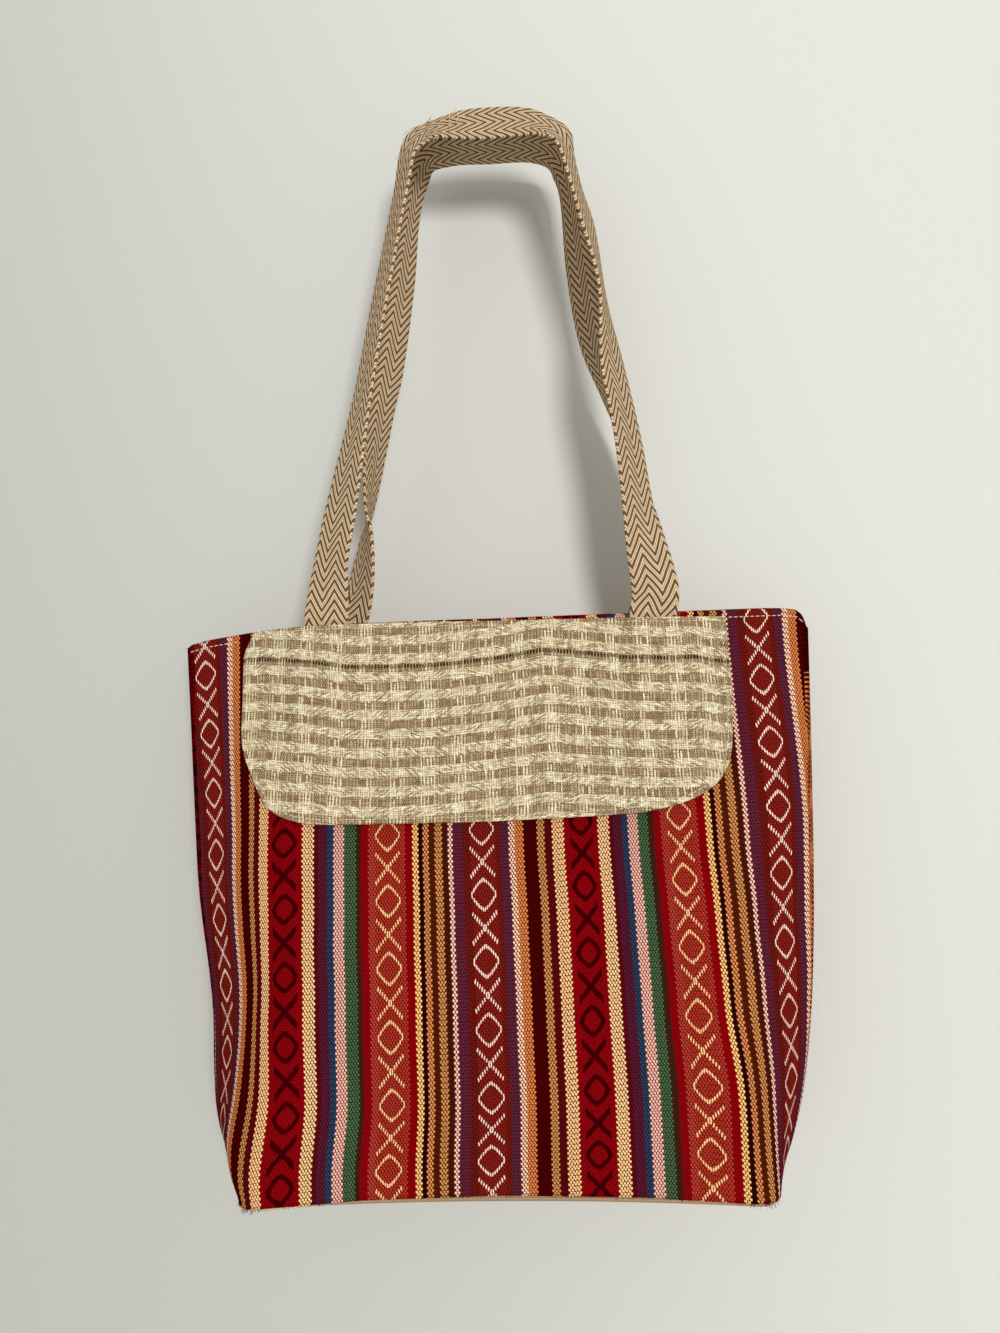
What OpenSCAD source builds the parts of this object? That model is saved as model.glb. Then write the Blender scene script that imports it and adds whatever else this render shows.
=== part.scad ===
// Canvas tote bag. Two striped panels meet at the side seams and stand on a boxed base.
// The same length of cloth goes round at every height, from the base up to the mouth.
// A sewn-on flap lies over the front, and two webbing handles rise from the rim.
// Origin: centre of the base's underside. +X right, -Y front, +Z up. Millimetres.

/* [Bag] */
// Width of the boxed base
base_w = 310; // [260:1:360]
// Depth of the boxed base
base_d = 98; // [70:1:120]
// Height from the base to the rim
body_h = 342; // [300:1:420]
// Outside gap between front and back at the middle of the mouth
mouth_gap = 34; // [28:1:56]
// How far the back leans forward between base and rim
back_lean = 22; // [0:1:30]
// Height over which the boxed corners open out into flat sides
corner_rise = 87; // [60:1:120]
// Radius of the base's upright corners
base_corner_r = 14; // [6:1:20]
// Bend where the front turns into the sides, at the rim
rim_corner_r = 60; // [30:1:90]

/* [Cloth] */
// Thickness of the striped cloth
outer_t = 2.0; // [1:0.1:3]
// Thickness of the lining
lining_t = 0.8; // [0.5:0.1:1.2]
// Thickness of the plain canvas base
base_t = 1.2; // [0.8:0.1:2]
// Space between layers sewn together
layer_gap = 0.2; // [0.1:0.05:0.3]
// Depth of the hem turned in at the mouth
hem_w = 25; // [15:1:40]
// Height of the striped cloth's lower edge above the ground
edge_up = 4; // [2:0.5:6]
// Height of the base's turned-up edge, inside the striped cloth
base_turn_up = 8; // [7:0.5:14]

/* [Flap] */
// Width of the flap
flap_w = 308; // [240:1:330]
// Height of the flap, with its sewn margin
flap_h = 123; // [90:1:150]
// Radius of the flap's lower corners
flap_r = 48; // [20:1:60]
// Drop of the flap's top edge below the rim
flap_drop = 3; // [2:0.5:12]
// Margin of the flap above its sewn line
flap_margin = 15; // [8:1:25]
// Thickness of the flap's check cloth
flap_face_t = 1.4; // [0.8:0.1:2]
// Thickness of the flap's lining
flap_lining_t = 0.8; // [0.5:0.1:1.2]

/* [Handles] */
// Width of the webbing
strap_w = 30; // [20:1:40]
// Thickness of the webbing
strap_t = 2.4; // [1.5:0.1:3.5]
// Spacing of a handle's two ends, centre to centre
leg_spacing = 210; // [150:1:240]
// Length of each webbing end sewn to the bag
strap_end = 60; // [30:1:90]
// Height of the handles above the rim
handle_rise = 334; // [200:1:380]
// Width of a handle's top run, outside its two bends
top_run = 98; // [70:1:130]
// Radius of the bends at the ends of the top run, at mid thickness
bend_r = 13; // [8:1:18]
// How far behind the middle of the mouth the two handles hang
hang_back = 0; // [-8:1:8]
// How far to the right of the bag's middle the two handles hang
hang_right = 13; // [-20:1:20]
// Turn of the front handle's legs about their length. At 90 they are edge-on to the front
front_leg_turn = 62; // [40:1:100]
// Turn of the front handle's top run. At 90 it lies flat
front_top_turn = 25; // [20:1:90]
// Turn of the back handle's legs about their length
back_leg_turn = 118; // [80:1:125]
// Turn of the back handle's top run
back_top_turn = 90; // [70:1:100]
// Space between the two handles where they hang side by side
handles_apart = 4; // [2:0.5:8]

/* [Hidden] */
// Space between soft pieces of different bodies, and between a strap and its cloth
soft_space = 0.3;
// Slack of the flap over the handles' sewn ends
flap_slack = 0.5;
panel_w = base_w + base_d;
half = panel_w / 2;
hem_in = outer_t + layer_gap;
hem_low = body_h - hem_w;

// Space from the striped cloth to each layer sewn inside it
base_in = outer_t + layer_gap;
lining_in = outer_t + layer_gap;
lining_in_low = base_in + base_t + layer_gap;

// The lining steps in round the base's turned-up edge
lining_foot = base_t + layer_gap;
lining_step = base_turn_up + layer_gap;
lining_clear = lining_step + 3;
lining_top = hem_low - layer_gap;

// The flap lies over the handles' sewn ends and turns on its front face at the sewn line
flap_off = soft_space + strap_t + flap_slack;
flap_out = flap_off + flap_lining_t + layer_gap + flap_face_t;
flap_top = body_h - flap_drop;
flap_line = flap_top - flap_margin;
flap_low = flap_top - flap_h;

handle_top = body_h + handle_rise;
hang_offset = (strap_w + handles_apart) / 2;
strap_mid = soft_space + strap_t / 2;
foot_z = body_h + soft_space;

// Counts of facets: flat part, bend and side of each half panel, rows of cloth, and strap rings
flat_n = 3;
bend_n = 6;
side_n = 3;
row_n = 16;
leg_n = 22;
arc_n = 7;
flap_n = 8;

// Heights where the cloth's facets meet. Every upright layer takes its own from these, so that
// neighbouring layers stay parallel. A row close to a piece's end is left out
function sorted(list) =
  len(list) < 2 ? list :
  let (first = list[0])
  concat(
    sorted([for (v = list) if (v < first) v]),
    [first],
    sorted([for (v = list) if (v > first) v])
  );
piece_ends = [
  lining_foot, edge_up, base_turn_up, lining_step, lining_clear,
  body_h - strap_end, lining_top, hem_low, body_h
];
even_rows = [for (i = [1:row_n - 1]) body_h * i / row_n];
row_space = 5;
levels = sorted(concat(
  piece_ends,
  [for (z = even_rows) if (min([for (e = piece_ends) abs(z - e)]) > row_space) z]
));
function levels_between(low, high) = [for (z = levels) if (z >= low && z <= high) z];

// ---- The shape of the bag: one length of cloth round it at every height ----

function share(z) = z / body_h;
function back_y(z) = base_d / 2 - back_lean * share(z);
rim_front_y = base_d / 2 - back_lean - mouth_gap;
function front_y(z) = -base_d / 2 + (rim_front_y + base_d / 2) * pow(sin(90 * share(z)), 2);
function mid_y(z) = (back_y(z) + front_y(z)) / 2;
function half_deep(z) = (back_y(z) - front_y(z)) / 2;

// How much narrower each half is than flat cloth: all of the box's depth at the base, little at the rim
rim_flat_share = 0.28;
rim_tuck = pow(mouth_gap / 2, 2) / (2 * (1 - rim_flat_share) * half);
function corner_tuck(z) = base_d / 2 * exp(-pow(z / corner_rise, 0.6));
rim_close = 1 - rim_tuck / corner_tuck(body_h);
function tuck(z) = corner_tuck(z) * (1 - rim_close * pow(share(z), 2));

// The front is flat as far as flat_half. Then the side runs back to the seam, side_out further out.
function side_out(z) = (pow(half_deep(z), 2) - pow(tuck(z), 2)) / (2 * tuck(z));
function side_len(z) = side_out(z) + tuck(z);
function flat_half(z) = half - side_len(z);
function bend(z) =
  min(base_corner_r + (rim_corner_r - base_corner_r) * share(z), 0.45 * side_len(z), 0.9 * flat_half(z));

// A layer inside the cloth ends sooner, where it meets the other half's layer
function inner_share(z, off) =
  off < 0 ? 1 + off * side_out(z) / (half_deep(z) * side_len(z)) : 1;

// Point s mm round from the panel's middle and z mm up, off mm outside the cloth. face: -1 front, 1 back
function cloth_point(s, z, off, face) =
  let (
    f = flat_half(z),
    b = half_deep(z),
    r = bend(z),
    side = [side_out(z), b] / side_len(z),
    reach = abs(s) - f,
    q = reach > 0 ? reach * inner_share(z, off) : reach,
    t = min(max((q + r) / (2 * r), 0), 1),
    on_flat = [f + q, -b],
    on_side = [f, -b] + q * side,
    on_bend = [f, -b] + pow(1 - t, 2) * [-r, 0] + t * t * r * side,
    p = t == 0 ? on_flat : t == 1 ? on_side : on_bend,
    along = (1 - t) * [1, 0] + t * side,
    out = [along.y, -along.x] / norm(along),
    at = p + off * out
  )
  [(s < 0 ? -1 : 1) * at.x, mid_y(z) - face * at.y, z];

// How far the cloth has turned away from the front or back at s, in degrees
function cloth_turn(s, z) =
  let (
    t = min(max((abs(s) - flat_half(z) + bend(z)) / (2 * bend(z)), 0), 1),
    along = (1 - t) * [1, 0] + t * [side_out(z), half_deep(z)] / side_len(z)
  )
  atan2(along.y, along.x);

// Places round one half of a panel, close together at the bend
function half_steps(z) =
  let (f = flat_half(z), r = bend(z))
  concat(
    [for (i = [0:flat_n - 1]) (f - r) * i / flat_n],
    [for (i = [0:bend_n - 1]) f - r + 2 * r * i / bend_n],
    [for (i = [0:side_n]) f + r + (half - f - r) * i / side_n]
  );

function backwards(list) = [for (i = [len(list) - 1:-1:0]) list[i]];

// Places across a whole panel, in the order that keeps its outside facing out
function panel_steps(z, face) =
  let (steps = half_steps(z), last = len(steps) - 1)
  concat(
    [for (i = [last:-1:1]) face * steps[i]],
    [for (s = steps) -face * s]
  );

function panel_row(z, off, face) = [for (s = panel_steps(z, face)) cloth_point(s, z, off, face)];

// Both halves in one closed ring
function whole_ring(z, off) =
  let (front = panel_row(z, off, -1), back = panel_row(z, off, 1), last = len(front) - 1)
  concat([for (i = [0:last - 1]) front[i]], [for (i = [0:last - 1]) back[i]]);

// ---- Closed solids from rows of points ----

// Two facets that fill a, b, c, d, split along the shorter diagonal. a to b lies beside c to d
function quad(points, a, b, c, d) =
  norm(points[b] - points[c]) < norm(points[a] - points[d]) + 0.001 ?
  [[a, b, c], [b, d, c]] :
  [[a, b, d], [a, d, c]];

function net(points, rows, cols, first, flip) = [
  for (i = [0:rows - 2], j = [0:cols - 2])
    let (a = first + i * cols + j, b = a + 1, c = a + cols, d = c + 1)
      each flip ? quad(points, b, a, d, c) : quad(points, a, b, c, d)
];

function strip(a, b) = [
  for (i = [0:len(a) - 2])
    each [[a[i], b[i], a[i + 1]], [a[i + 1], b[i], b[i + 1]]]
];

// A sheet with an outer and an inner face, given as rows of as many points each
module sheet_solid(outer, inner) {
  rows = len(outer);
  cols = len(outer[0]);
  n = rows * cols;
  low = [for (j = [0:cols - 1]) j];
  high = [for (j = [0:cols - 1]) (rows - 1) * cols + j];
  left = [for (i = [0:rows - 1]) i * cols];
  right = [for (i = [0:rows - 1]) i * cols + cols - 1];
  far = [for (k = [0:n - 1]) k + n];
  points = concat([for (row = outer) each row], [for (row = inner) each row]);
  polyhedron(
    points = points,
    faces = concat(
      net(points, rows, cols, 0, true),
      net(points, rows, cols, n, false),
      strip([for (k = low) far[k]], low),
      strip(high, [for (k = high) far[k]]),
      strip(left, [for (k = left) far[k]]),
      strip([for (k = right) far[k]], right)
    ),
    convexity = 6
  );
}

// A solid through closed rings of as many points each. Each end is a fan about its own middle
module ring_solid(rings) {
  m = len(rings[0]);
  ends = [0, len(rings) - 1];
  n = len(rings) * m;
  middle = function (ring) [for (k = [0:2]) [for (p = ring) 1] * [for (p = ring) p[k]] / len(ring)];
  points = concat([for (ring = rings) each ring], [for (e = ends) middle(rings[e])]);
  polyhedron(
    points = points,
    faces = concat(
      [for (j = [0:m - 1]) [n, j, (j + 1) % m]],
      [
        for (i = [0:len(rings) - 2], j = [0:m - 1])
          let (a = i * m + j, b = i * m + (j + 1) % m)
            each quad(points, b, a, b + m, a + m)
      ],
      [for (j = [0:m - 1]) [n + 1, ends[1] * m + (j + 1) % m, ends[1] * m + j]]
    ),
    convexity = 6
  );
}

// ---- Body cloth ----

// One layer of a panel between two heights, from off mm outside the cloth's outer face, thick mm inwards
module panel_layer(face, low, high, off, thick) {
  zs = levels_between(low, high);
  sheet_solid(
    [for (z = zs) panel_row(z, off, face)],
    [for (z = zs) panel_row(z, off - thick, face)]
  );
}

module striped_panel(face) {
  panel_layer(face, edge_up, body_h, 0, outer_t);
}

// The panel's upper edge, turned in at the mouth
module turned_hem(face) {
  panel_layer(face, hem_low, body_h, -hem_in, outer_t);
}

module lining_panel(face) {
  zs = levels_between(lining_foot, lining_top);
  function inset(z) = z < lining_clear ? lining_in_low : lining_in;
  sheet_solid(
    [for (z = zs) panel_row(z, -inset(z), face)],
    [for (z = zs) panel_row(z, -inset(z) - lining_t, face)]
  );
}

module front_panel() {
  color("firebrick") striped_panel(-1);
}

module back_panel() {
  color("firebrick") striped_panel(1);
}

module hem_front() {
  color("firebrick") turned_hem(-1);
}

module hem_back() {
  color("firebrick") turned_hem(1);
}

module lining_front() {
  color("wheat") lining_panel(-1);
}

module lining_back() {
  color("wheat") lining_panel(1);
}

// A shallow tray: the canvas turns up all round, inside the striped cloth
module base_panel() {
  edge_r = base_t / 2;
  wall = levels_between(lining_foot, base_turn_up);
  color("tan") ring_solid(concat(
    [whole_ring(0, -base_in - edge_r), whole_ring(edge_r, -base_in)],
    [for (z = wall) whole_ring(z, -base_in)],
    [for (z = backwards(wall)) whole_ring(z, -base_in - base_t)],
    [whole_ring(base_t, -base_in - base_t)]
  ));
}

module lining_base() {
  inset = lining_in_low + lining_t + 2 * layer_gap;
  color("wheat") ring_solid([
    whole_ring(lining_foot, -inset),
    whole_ring(lining_foot + lining_t, -inset)
  ]);
}

// ---- Flap ----

// Places across the flap, close together at its round corners
flap_flat = flap_w / 2 - flap_r;
flap_half_steps = concat(
  [for (i = [0:flap_n - 1]) flap_flat * i / flap_n],
  [for (i = [0:flap_n]) flap_flat + flap_r * sin(90 * i / flap_n)]
);
flap_last = len(flap_half_steps) - 1;
flap_steps = concat(
  [for (i = [flap_last:-1:1]) -flap_half_steps[i]],
  flap_half_steps
);

// The flap's lower edge, straight between two quarter circles
function flap_edge(s) =
  let (over = max(abs(s) - flap_flat, 0))
  flap_low + flap_r - sqrt(max(flap_r * flap_r - over * over, 0));

function flap_row(share, off, low_of) = [
  for (s = flap_steps)
    let (low = low_of(s))
      cloth_point(s, low + (flap_line - soft_space - low) * share, off, -1)
];

// One layer of the flap below its sewn line
module flap_layer(inner, outer) {
  edge = function (s) flap_edge(s);
  sheet_solid(
    [for (i = [0:flap_n]) flap_row(i / flap_n, outer, edge)],
    [for (i = [0:flap_n]) flap_row(i / flap_n, inner, edge)]
  );
}

module flap_face() {
  color("cornsilk") flap_layer(flap_out - flap_face_t, flap_out);
}

module flap_lining() {
  color("wheat") flap_layer(flap_off, flap_off + flap_lining_t);
}

// Both layers of the flap above the line, sewn to the front over the handles' ends
module flap_margin_strip() {
  zs = [flap_line + soft_space, (flap_line + flap_top) / 2, flap_top];
  color("cornsilk") sheet_solid(
    [for (z = zs) [for (s = flap_steps) cloth_point(s, z, flap_out, -1)]],
    [for (z = zs) [for (s = flap_steps) cloth_point(s, z, flap_off, -1)]]
  );
}

// ---- Handles ----

// A sewn webbing end on the outside of a panel. side: -1 left, 1 right
module handle_end(side, face) {
  middle = side * leg_spacing / 2;
  across = [for (i = [0:4]) middle - face * strap_w * (i / 4 - 0.5)];
  zs = levels_between(body_h - strap_end, body_h);
  sheet_solid(
    [for (z = zs) [for (s = across) cloth_point(s, z, soft_space + strap_t, face)]],
    [for (z = zs) [for (s = across) cloth_point(s, z, soft_space, face)]]
  );
}

// Half of a handle's middle line, as [x, z, heading, turn]: up the leg, round the bend, to the middle.
// The leg stands on the right, its foot at start. The bend is hang mm further right. The webbing lies along
// the cloth at its foot, turned by foot_turn. It has its leg_turn from here on, as a share of the leg
turn_end = 0.55;
function half_line(start, hang, foot_turn, leg_turn, top_turn) =
  let (
    centre = [top_run / 2 - bend_r + hang, handle_top - bend_r],
    to = centre - start,
    heading = atan2(to.y, to.x) - asin(bend_r / norm(to)),
    leg_end = centre + bend_r * [cos(heading - 90), sin(heading - 90)],
    ease = function (t) let (u = min(t, 1)) u * u * (3 - 2 * u)
  )
  concat(
    [
      for (i = [0:leg_n - 1])
        let (t = i / leg_n, p = start + (leg_end - start) * t)
          [p.x, p.y, i == 0 ? 90 : heading, foot_turn + (leg_turn - foot_turn) * ease(t / turn_end)]
    ],
    [
      for (i = [0:arc_n])
        let (h = heading + (180 - heading) * i / arc_n, place = centre + bend_r * [cos(h - 90), sin(h - 90)])
          [place.x, place.y, h, leg_turn + (top_turn - leg_turn) * ease(i / arc_n)]
    ]
  );

// One ring of webbing: flat to the panel at the rim, and turned on its way to what it hangs on
function strap_ring(p, y, lean) =
  let (
    heading = [cos(p[2]), 0, sin(p[2])],
    out = [cos(p[2] - 90), 0, sin(p[2] - 90)],
    wide = cos(p[3]) * out + sin(p[3]) * [0, 1, 0],
    thick = cross(heading, wide),
    middle = [p[0], y + lean * (p[1] - foot_z), p[1]]
  )
  [
    for (c = [[-1, -1], [1, -1], [1, 1], [-1, 1]])
      middle + c.x * strap_w / 2 * wide + c.y * strap_t / 2 * thick
  ];

module handle(face, leg_turn, top_turn) {
  foot = cloth_point(leg_spacing / 2, body_h, strap_mid, face);
  start = [foot.x, foot_z];
  foot_turn = -face * cloth_turn(leg_spacing / 2, body_h);
  right = half_line(start, hang_right, foot_turn, leg_turn, top_turn);
  left = half_line(start, -hang_right, foot_turn, leg_turn, top_turn);
  over = [for (p = backwards(left)) [-p[0], p[1], 360 - p[2], p[3]]];
  lean = (mid_y(body_h) + hang_back + face * hang_offset - foot.y) / (handle_top - foot_z);
  ring_solid([for (p = concat(right, over)) strap_ring(p, foot.y, lean)]);
}

module front_handle() {
  color("burlywood") handle(-1, front_leg_turn, front_top_turn);
}

module back_handle() {
  color("burlywood") handle(1, back_leg_turn, back_top_turn);
}

module front_handle_end_left() {
  color("burlywood") handle_end(-1, -1);
}

module front_handle_end_right() {
  color("burlywood") handle_end(1, -1);
}

module back_handle_end_left() {
  color("burlywood") handle_end(-1, 1);
}

module back_handle_end_right() {
  color("burlywood") handle_end(1, 1);
}

front_panel();
back_panel();
hem_front();
hem_back();
base_panel();
lining_front();
lining_back();
lining_base();
flap_margin_strip();
flap_face();
flap_lining();
front_handle();
front_handle_end_left();
front_handle_end_right();
back_handle();
back_handle_end_left();
back_handle_end_right();
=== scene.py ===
import math
import random

import bmesh
import bpy
from mathutils import Matrix, Vector, noise


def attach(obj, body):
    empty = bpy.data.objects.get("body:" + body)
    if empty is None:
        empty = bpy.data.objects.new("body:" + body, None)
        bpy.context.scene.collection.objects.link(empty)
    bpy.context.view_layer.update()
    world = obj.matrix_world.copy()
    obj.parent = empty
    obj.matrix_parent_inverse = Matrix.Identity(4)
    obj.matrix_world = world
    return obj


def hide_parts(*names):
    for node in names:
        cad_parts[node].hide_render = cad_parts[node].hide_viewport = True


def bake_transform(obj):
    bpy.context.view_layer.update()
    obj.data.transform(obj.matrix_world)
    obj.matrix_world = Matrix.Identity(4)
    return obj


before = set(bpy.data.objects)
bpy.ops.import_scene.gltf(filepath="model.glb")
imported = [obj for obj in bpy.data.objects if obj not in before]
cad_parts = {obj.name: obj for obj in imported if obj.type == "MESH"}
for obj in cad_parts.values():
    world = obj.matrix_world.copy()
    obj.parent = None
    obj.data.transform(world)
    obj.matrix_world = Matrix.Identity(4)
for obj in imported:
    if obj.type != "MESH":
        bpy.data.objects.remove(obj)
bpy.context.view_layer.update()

# ---- Camera ----
# It stands level with the bag's body, a little to its right, turned slightly to the left and up.
# Its place is in metres and its turns are in radians. Lens and image share one unit.
CAMERA_AT = (0.0558, -0.63506, 0.25371)
CAMERA_YAW, CAMERA_PITCH, CAMERA_ROLL = 0.0776, 0.0917, -0.0392
IMAGE_HEIGHT, LENS_LENGTH = 1333, 1000

level_right = Vector((math.cos(CAMERA_YAW), math.sin(CAMERA_YAW), 0))
ahead = Vector((
    -math.cos(CAMERA_PITCH) * math.sin(CAMERA_YAW),
    math.cos(CAMERA_PITCH) * math.cos(CAMERA_YAW),
    math.sin(CAMERA_PITCH),
))
level_up = level_right.cross(ahead)
camera_right = math.cos(CAMERA_ROLL) * level_right + math.sin(CAMERA_ROLL) * level_up
camera_up = math.cos(CAMERA_ROLL) * level_up - math.sin(CAMERA_ROLL) * level_right
lens = bpy.data.cameras.new("camera")
lens.sensor_width = 36
lens.lens = LENS_LENGTH * lens.sensor_width / IMAGE_HEIGHT
lens.clip_start = 0.01
camera = bpy.data.objects.new("camera", lens)
camera.matrix_world = Matrix.Translation(CAMERA_AT) @ Matrix(
    (camera_right, camera_up, -ahead)
).transposed().to_4x4()
bpy.context.scene.collection.objects.link(camera)
bpy.context.scene.camera = camera

# ---- Striped body cloth: front and back panels with their turned-in hems ----
# Two panels of handwoven striped cloth meet at side seams and stand on a boxed base. Their tops
# are folded in for 25 mm and topstitched. Lengths are in millimetres until a mesh is made.
BASE_W, BASE_D, BODY_H = 310, 98, 342
MOUTH_GAP, BACK_LEAN = 34, 22
# The sides are square at the base and fold with height, at a pace set by the first two. At the rim
# each one's run outwards is the third, as a share of the half width
CORNER_RISE, CORNER_POWER, RIM_SIDE = 87, 0.6, 0.72
# Half the bend between front and side, at the base and at the rim, and the most of each it takes
BASE_BEND, RIM_BEND, SIDE_BEND, FLAT_BEND = 14, 60, 0.45, 0.9
CLOTH_T, HEM_W, EDGE_UP = 2.0, 25, 4
HALF = (BASE_W + BASE_D) / 2
FRONT, BACK = -1, 1
# Height of the rim and of the lower edge round the front, from left to right
FRONT_RIM = [
    (-204, 337.3), (-190, 340.2), (-159, 343.4), (-124, 345), (-60, 344), (0, 342.9), (97, 342.4),
    (188, 342.7), (197, 341.6), (201, 338), (204, 331),
]
BACK_RIM = [(-204, 337.3), (-170, 341), (-90, 342.5), (0, 343), (90, 342), (170, 342), (204, 331)]
FRONT_EDGE = [
    (-204, 4), (-170, 2.5), (-152, 0.6), (-120, 3), (-80, 6.2), (0, 8.6), (80, 7), (130, 3.6),
    (152, 2.4), (170, 3), (204, 4),
]
BACK_EDGE = [(-204, 4), (0, 5), (204, 4)]


def share(z):
    """Height as a share of the body's"""
    return z / BODY_H


def back_y(z):
    """The back leans forward towards the mouth"""
    return BASE_D / 2 - BACK_LEAN * share(z)


RIM_FRONT_Y = BASE_D / 2 - BACK_LEAN - MOUTH_GAP


def front_y(z):
    """The front curves back towards the mouth"""
    rise = math.sin(math.pi / 2 * share(z)) ** 2
    return -BASE_D / 2 + (RIM_FRONT_Y + BASE_D / 2) * rise


def mid_y(z):
    return (back_y(z) + front_y(z)) / 2


def half_deep(z):
    return (back_y(z) - front_y(z)) / 2


# How deep a side's fold still is at the rim
RIM_TUCK = (MOUTH_GAP / 2) ** 2 / (2 * RIM_SIDE * HALF)


def corner_tuck(z):
    """How far a side lies behind the front's corner, before the rim closes it"""
    return BASE_D / 2 * math.exp(-((max(z, 0) / CORNER_RISE) ** CORNER_POWER))


RIM_CLOSE = 1 - RIM_TUCK / corner_tuck(BODY_H)


def cloth_row(z):
    """Flat half width, run of the side outwards and back, its length, and the bend between them"""
    deep = half_deep(z)
    tuck = corner_tuck(z) * (1 - RIM_CLOSE * share(z) ** 2)
    out = (deep ** 2 - tuck ** 2) / (2 * tuck)
    side = out + tuck
    flat = HALF - side
    bend = BASE_BEND + (RIM_BEND - BASE_BEND) * share(z)
    return flat, out, deep, side, min(bend, SIDE_BEND * side, FLAT_BEND * flat)


def ease(t):
    """0 up to 0, 1 from 1 on, and smooth between them"""
    t = min(max(t, 0), 1)
    return t * t * (3 - 2 * t)


def along_line(points, s):
    """Height of a line through (s, height) points"""
    for (s0, h0), (s1, h1) in zip(points, points[1:]):
        if s <= s1:
            return h0 + (h1 - h0) * min(max((s - s0) / (s1 - s0), 0), 1)
    return points[-1][1]


# The hanging cloth ripples: each ripple's length across and up, its own place in the noise, and its
# depth. They die out towards the base and the seams, and halve from RIPPLE_TOP up to the rim
RIPPLES = [(110, 150, 7.3, 4.2), (34, 60, 3.1, 0.9)]
RIPPLE_BASE, RIPPLE_SEAM, RIPPLE_TOP = 70, 30, 250


def ripple(s, z, face):
    """How far the hanging cloth swells out or in"""
    held = ease(z / RIPPLE_BASE) * ease((HALF - abs(s)) / RIPPLE_SEAM)
    held *= 1 - 0.5 * ease((z - RIPPLE_TOP) / (BODY_H - RIPPLE_TOP))
    return held * sum(
        depth * noise.noise(Vector((s / wide, z / high, start * face)))
        for wide, high, start, depth in RIPPLES
    )


# The left side swells out above its rounded lower corner, and falls in higher up: how far at each
# height. It starts SWELL_FROM left of the middle and is full SWELL_OVER further on
SIDE_SWELL = [
    (0, 0), (6, 0.6), (11, 2.8), (16, 4.6), (22, 5.6), (30, 6), (37, 5.7), (47, 4.4), (57, 2.7),
    (67, 1.1), (76, -0.2), (88, -2), (100, -3.2), (112, -3.6), (126, -3.4), (140, -2.6), (155, -1.5),
    (172, -0.5), (190, 0),
]
SWELL_FROM, SWELL_OVER = 128, 42


def corner_swell(s, z):
    return along_line(SIDE_SWELL, z) * ease((-s - SWELL_FROM) / SWELL_OVER)


# The rim's own line is followed from RIM_FROM up, and the lower edge's from EDGE_TO down
RIM_FROM, EDGE_TO = 200, 70


def cloth_point(s, z, off, face):
    """Point s round from a panel's middle and z up, off outside the cloth's outer face"""
    rim, edge = (FRONT_RIM, FRONT_EDGE) if face == FRONT else (BACK_RIM, BACK_EDGE)
    flat, out, deep, side, bend = cloth_row(min(max(z, 0), BODY_H))
    reach = abs(s) - flat
    if reach > 0 and off < -CLOTH_T / 2:
        reach *= 1 + off * out / (deep * side)
    t = min(max((reach + bend) / (2 * bend), 0), 1)
    side_way = (out / side, deep / side)
    if t == 0:
        x, y = flat + reach, -deep
    elif t == 1:
        x, y = flat + reach * side_way[0], -deep + reach * side_way[1]
    else:
        x = flat - bend * (1 - t) ** 2 + bend * t * t * side_way[0]
        y = -deep + bend * t * t * side_way[1]
    way = Vector(((1 - t) + t * side_way[0], t * side_way[1])).normalized()
    off += ripple(s, z, face)
    x, y = x + off * way.y + corner_swell(s, z), y - off * way.x
    z += (along_line(rim, s) - BODY_H) * ease((z - RIM_FROM) / (BODY_H - RIM_FROM))
    z += (along_line(edge, s) - EDGE_UP) * ease((EDGE_TO - z) / EDGE_TO)
    return Vector((math.copysign(x, s), mid_y(min(max(z, 0), BODY_H)) - face * y, z))


# One repeat of the stripes, where one starts, and the pitch of the motifs up the cloth
REPEAT, REPEAT_FROM, MOTIF_PITCH = 183, -139.6, 38.5
# The cloth hangs a little off its threads. Each table goes across the panel from its left seam to
# its right one: where the motifs' first row lies, their pitch, and how far the stripes drift to the
# right at each of six heights
FIRST_ROW = [
    (-190, 157.9), (-128, 166.9), (-64, 170.3), (-6, 172.4), (55, 175.4), (116, 177.5), (178, 177),
]
PITCH = [
    (-190, 39.67), (-128, 38.67), (-64, 37.83), (-6, 37.3), (55, 37.09), (116, 37.16), (178, 39.55),
]
DRIFT_AT = (-190, -152, -138, -119, -80, -28, 14, 55, 92, 116, 138, 158, 178)
DRIFT = [
    (15, (4, 1.6, 0.2, 1.6, 1.1, 1.5, 2, 1.2, 1.2, 0.5, 2.1, 5, 6)),
    (60, (8.5, 6.1, 4, 5.4, 4.4, 3.3, 2.9, 1.7, 1.1, 0.6, 3, 5.7, 8.4)),
    (110, (6.2, 1, 0.4, 3.3, 3.7, 2.9, 2.3, 1.1, -0.2, -1.8, -0.7, 4, 6.2)),
    (155, (6, -0.8, -2.1, 1.1, 2, 2, 1.3, 0.8, -1.2, -3.4, -1.6, 1.9, 4)),
    (200, (5.7, -1.9, -3.3, -0.2, 1.2, 0.9, -0.1, -0.5, -2.7, -4.8, -3.3, -0.7, 4.1)),
    (335, (-1.2, -2.1, -3.8, -3.6, -1.8, -0.4, -0.3, -1, -3.4, -5, -5.4, -5.1, -4.7)),
]
# The rows lie right at the second of these heights. Above and below it they lie higher, by the first
# at most, which they reach the third away
ROW_LIFT, ROWS_LEVEL, LIFT_REACH = 1.4, 105, 100
# The back panel is the same cloth turned round: this place on it is like the front's middle
BACK_TURN = 38


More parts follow.
